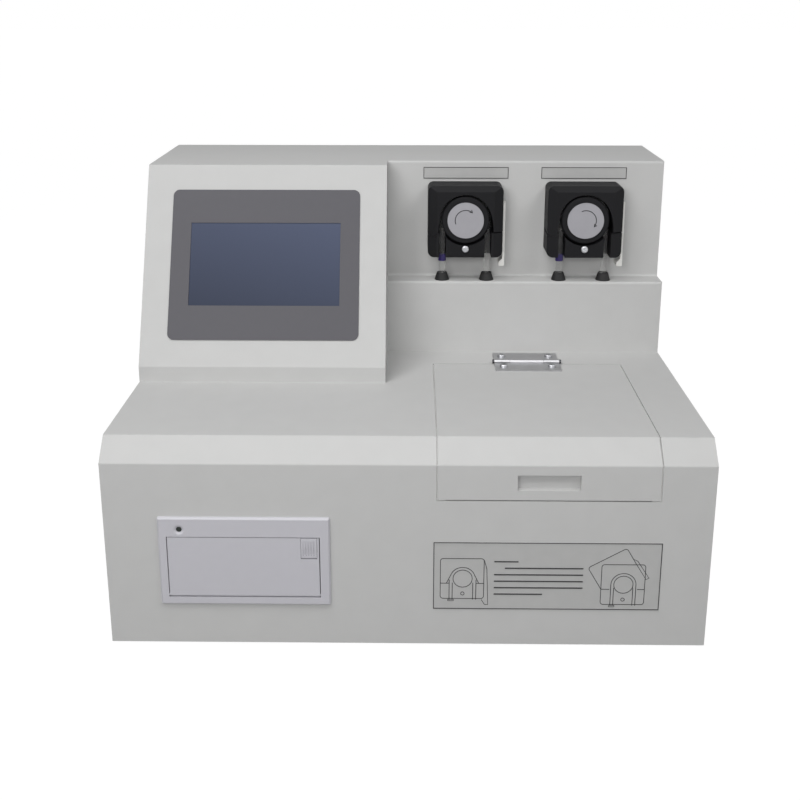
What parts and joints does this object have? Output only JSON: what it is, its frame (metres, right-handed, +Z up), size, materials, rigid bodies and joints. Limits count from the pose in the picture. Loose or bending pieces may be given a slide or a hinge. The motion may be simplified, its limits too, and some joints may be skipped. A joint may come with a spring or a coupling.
{
  "type": "automatic titrator",
  "caption": "Benchtop automatic titrator: touch screen on a sloping pod, panel printer, hinged lid over a sample turntable, and two peristaltic pumps with silicone tubes",
  "frame": {"origin": "centre of the bounding box on the plane that the feet stand on", "axes": "+X to the viewer's right along the width, +Y from the front face to the back, +Z up"},
  "size_m": [0.54, 0.4026, 0.405],
  "materials": {
    "coated_steel": "fine semi-gloss powder coat",
    "overlay_film": "matte printed film",
    "screen_glass": "glossy glass over a lit panel",
    "grey_plastic": "fine moulded texture",
    "black_plastic": "fine moulded texture",
    "pump_black": "satin moulded",
    "ivory_plastic": "satin moulded",
    "white_plastic": "satin",
    "clear_plastic": "clear moulded",
    "blue_plastic": "smooth",
    "pale_disc": "brushed film",
    "led_lens": "clear dark lens",
    "rubber": "matte",
    "silicone": "translucent smooth",
    "paper": "smooth",
    "satin_steel": "satin",
    "dark_steel": "satin",
    "green_board": "solder mask"
  },
  "bodies": {
    "chassis": {"base_tray": "coated_steel", "feet": "rubber", "side_panel_left": "coated_steel", "side_panel_right": "coated_steel", "front_panel": "coated_steel", "pod_panel": "coated_steel", "pod_cheek": "coated_steel", "wall_panel": "coated_steel", "rear_panel": "coated_steel", "display_overlay": "overlay_film", "display_module": "screen_glass", "display_bracket": "black_plastic", "printer_bezel": "grey_plastic", "printer_led": "led_lens", "printer_tray": "black_plastic", "hinge_leaf_deck": "satin_steel", "hinge_pin": "dark_steel", "sample_tub": "white_plastic", "carousel_drive": "dark_steel", "dosing_head": "black_plastic", "tube_grommets": "rubber", "tube_collars": "blue_plastic", "hose_fittings": "white_plastic", "power_inlet": "black_plastic", "data_port": "satin_steel", "fan_frame": "black_plastic", "power_supply": "satin_steel", "main_board": "green_board", "pump_left_base": "pump_black", "pump_left_motor": "dark_steel", "pump_left_tube": "silicone", "pump_right_base": "pump_black", "pump_right_motor": "dark_steel", "pump_right_tube": "silicone"},
    "lid": {"lid_panel": "coated_steel", "lid_pull": "coated_steel", "hinge_leaf_lid": "satin_steel"},
    "printer_door": {"printer_door": "grey_plastic"},
    "platen_roller": {"platen_roller": "rubber"},
    "printer_latch": {"printer_latch": "grey_plastic"},
    "paper_roll": {"paper_roll": "paper"},
    "carousel": {"carousel": "white_plastic", "sample_cups": "clear_plastic"},
    "rocker_switch": {"rocker_switch": "black_plastic"},
    "fan_rotor": {"fan_rotor": "black_plastic"},
    "pump_left_cover": {"pump_left_cover": "pump_black"},
    "pump_left_lever": {"pump_left_lever": "ivory_plastic"},
    "pump_left_rotor": {"pump_left_rotor": "pump_black", "pump_left_disc": "pale_disc"},
    "pump_left_roller_1": {"pump_left_roller_1": "satin_steel"},
    "pump_left_roller_2": {"pump_left_roller_2": "satin_steel"},
    "pump_left_roller_3": {"pump_left_roller_3": "satin_steel"},
    "pump_right_cover": {"pump_right_cover": "pump_black"},
    "pump_right_lever": {"pump_right_lever": "ivory_plastic"},
    "pump_right_rotor": {"pump_right_rotor": "pump_black", "pump_right_disc": "pale_disc"},
    "pump_right_roller_1": {"pump_right_roller_1": "satin_steel"},
    "pump_right_roller_2": {"pump_right_roller_2": "satin_steel"},
    "pump_right_roller_3": {"pump_right_roller_3": "satin_steel"}
  },
  "joints": [
    {"name": "lid_hinge", "type": "hinge", "parent": "chassis", "child": "lid", "pos_m": [0.124, 0.0088, 0.2026], "axis": [-1, 0, 0], "range_deg": [0, 95]},
    {"name": "printer_door_hinge", "type": "hinge", "parent": "chassis", "child": "printer_door", "pos_m": [-0.14595, -0.1992, 0.05425], "axis": [1, 0, 0], "range_deg": [0, 90]},
    {"name": "printer_latch_hinge", "type": "hinge", "parent": "printer_door", "child": "printer_latch", "pos_m": [-0.21345, -0.1992, 0.09625], "axis": [1, 0, 0], "range_deg": [0, 12], "stiffness_Nm_per_rad": 0.02},
    {"name": "platen_spin", "type": "hinge", "parent": "printer_door", "child": "platen_roller", "pos_m": [-0.14595, -0.1917, 0.10665], "axis": [1, 0, 0], "continuous": true},
    {"name": "paper_roll_spin", "type": "hinge", "parent": "chassis", "child": "paper_roll", "pos_m": [-0.14595, -0.1697, 0.0698], "axis": [1, 0, 0], "continuous": true},
    {"name": "carousel_turn", "type": "hinge", "parent": "chassis", "child": "carousel", "pos_m": [0.124, -0.09095, 0.11], "axis": [0, 0, 1], "continuous": true},
    {"name": "power_switch_rocker", "type": "hinge", "parent": "chassis", "child": "rocker_switch", "pos_m": [-0.185, 0.1873, 0.052], "axis": [1, 0, 0], "range_deg": [-20, 0]},
    {"name": "fan_spin", "type": "hinge", "parent": "chassis", "child": "fan_rotor", "pos_m": [-0.19, 0.1773, 0.13], "axis": [0, 1, 0], "continuous": true},
    {"name": "pump_left_cover_hinge", "type": "hinge", "parent": "chassis", "child": "pump_left_cover", "pos_m": [0.0252, 0.0563, 0.3345], "axis": [0, -1, 0], "range_deg": [0, 30]},
    {"name": "pump_left_lever_hinge", "type": "hinge", "parent": "pump_left_cover", "child": "pump_left_lever", "pos_m": [0.09555, 0.0563, 0.3626], "axis": [0, -1, 0], "range_deg": [0, 20]},
    {"name": "pump_left_rotor_spin", "type": "hinge", "parent": "chassis", "child": "pump_left_rotor", "pos_m": [0.0592, 0.0563, 0.347], "axis": [0, -1, 0], "continuous": true},
    {"name": "pump_left_roller_1_spin", "type": "hinge", "parent": "pump_left_rotor", "child": "pump_left_roller_1", "pos_m": [0.0592, 0.0563, 0.3613], "axis": [0, -1, 0], "continuous": true},
    {"name": "pump_left_roller_2_spin", "type": "hinge", "parent": "pump_left_rotor", "child": "pump_left_roller_2", "pos_m": [0.04682, 0.0563, 0.33985], "axis": [0, -1, 0], "continuous": true},
    {"name": "pump_left_roller_3_spin", "type": "hinge", "parent": "pump_left_rotor", "child": "pump_left_roller_3", "pos_m": [0.07158, 0.0563, 0.33985], "axis": [0, -1, 0], "continuous": true},
    {"name": "pump_right_cover_hinge", "type": "hinge", "parent": "chassis", "child": "pump_right_cover", "pos_m": [0.1505, 0.0563, 0.3345], "axis": [0, -1, 0], "range_deg": [0, 30]},
    {"name": "pump_right_lever_hinge", "type": "hinge", "parent": "pump_right_cover", "child": "pump_right_lever", "pos_m": [0.22085, 0.0563, 0.3626], "axis": [0, -1, 0], "range_deg": [0, 20]},
    {"name": "pump_right_rotor_spin", "type": "hinge", "parent": "chassis", "child": "pump_right_rotor", "pos_m": [0.1845, 0.0563, 0.347], "axis": [0, -1, 0], "continuous": true},
    {"name": "pump_right_roller_1_spin", "type": "hinge", "parent": "pump_right_rotor", "child": "pump_right_roller_1", "pos_m": [0.1845, 0.0563, 0.3613], "axis": [0, -1, 0], "continuous": true},
    {"name": "pump_right_roller_2_spin", "type": "hinge", "parent": "pump_right_rotor", "child": "pump_right_roller_2", "pos_m": [0.17212, 0.0563, 0.33985], "axis": [0, -1, 0], "continuous": true},
    {"name": "pump_right_roller_3_spin", "type": "hinge", "parent": "pump_right_rotor", "child": "pump_right_roller_3", "pos_m": [0.19688, 0.0563, 0.33985], "axis": [0, -1, 0], "continuous": true}
  ]
}
